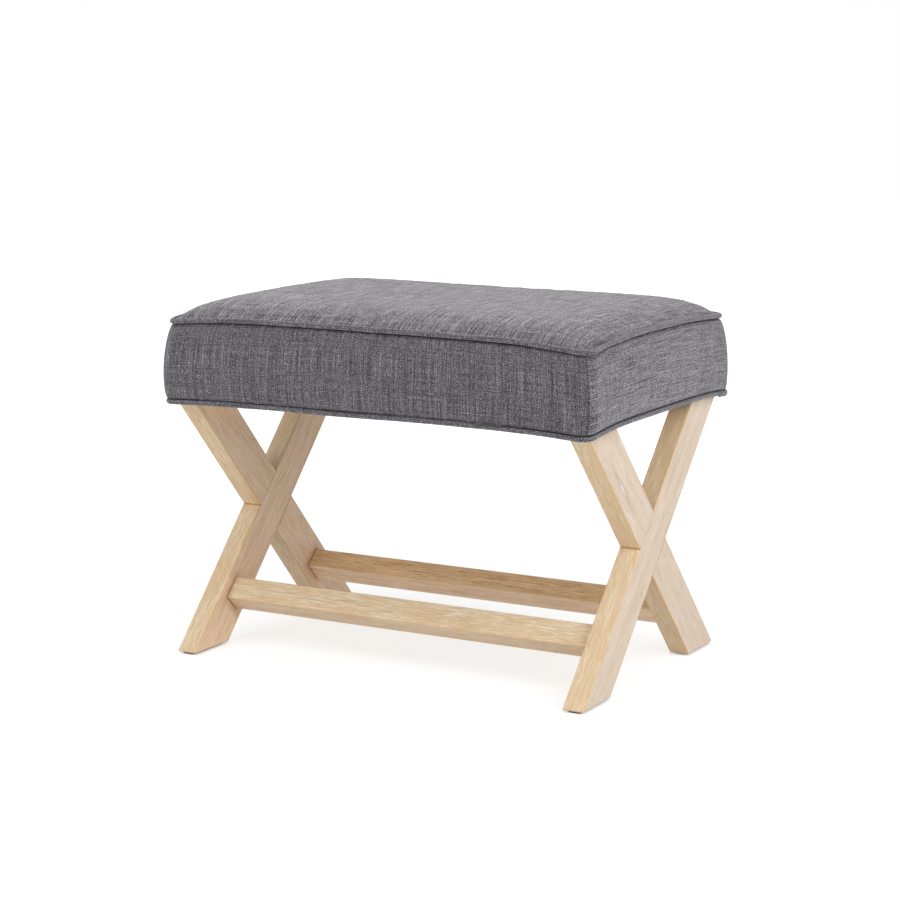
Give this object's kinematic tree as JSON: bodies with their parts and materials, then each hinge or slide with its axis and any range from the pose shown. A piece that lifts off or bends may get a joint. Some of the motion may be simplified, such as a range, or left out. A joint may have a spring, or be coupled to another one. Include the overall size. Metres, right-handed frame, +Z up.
{
  "type": "ottoman",
  "caption": "Low rectangular upholstered ottoman: boxed and piped seat with a crowned top, on crossed oak leg frames tied by low stretchers.",
  "frame": {"origin": "on the floor, under the middle of the seat: centre of the underside of the whole object", "axes": "+X to the right along the seat's width, +Y from the front to the back, +Z up"},
  "size_m": [0.6144, 0.4244, 0.4677],
  "materials": {
    "oak": "satin",
    "pine": "matte",
    "plywood": "matte",
    "linen": "matte",
    "wadding": "matte",
    "foam": "matte",
    "dust_cloth": "matte",
    "steel": "satin",
    "glide": "matte"
  },
  "bodies": {
    "root": {"leg_left_a": "oak", "leg_left_b": "oak", "leg_right_a": "oak", "leg_right_b": "oak", "stretcher_front": "oak", "stretcher_back": "oak", "stretcher_dowels": "pine", "glide_front_left": "glide", "glide_front_right": "glide", "glide_back_left": "glide", "glide_back_right": "glide", "glide_nails": "steel", "cleat_left": "pine", "cleat_right": "pine", "cleat_screws": "steel", "seat_bolts": "steel", "bolt_washers": "steel", "tee_nuts": "steel", "seat_rail_front": "pine", "seat_rail_back": "pine", "seat_rail_left": "pine", "seat_rail_right": "pine", "bearer_left": "pine", "bearer_right": "pine", "corner_blocks": "pine", "rail_screws": "steel", "bearer_screws": "steel", "deck_panel": "plywood", "deck_screws": "steel", "foam_pad": "foam", "top_wadding": "wadding", "side_wadding": "wadding", "cover_top": "linen", "cover_band_front": "linen", "cover_band_right": "linen", "cover_band_back": "linen", "cover_band_left": "linen", "piping_top": "linen", "piping_bottom": "linen", "flange_front": "linen", "flange_back": "linen", "flange_left": "linen", "flange_right": "linen", "dust_cover": "dust_cloth"}
  },
  "joints": []
}
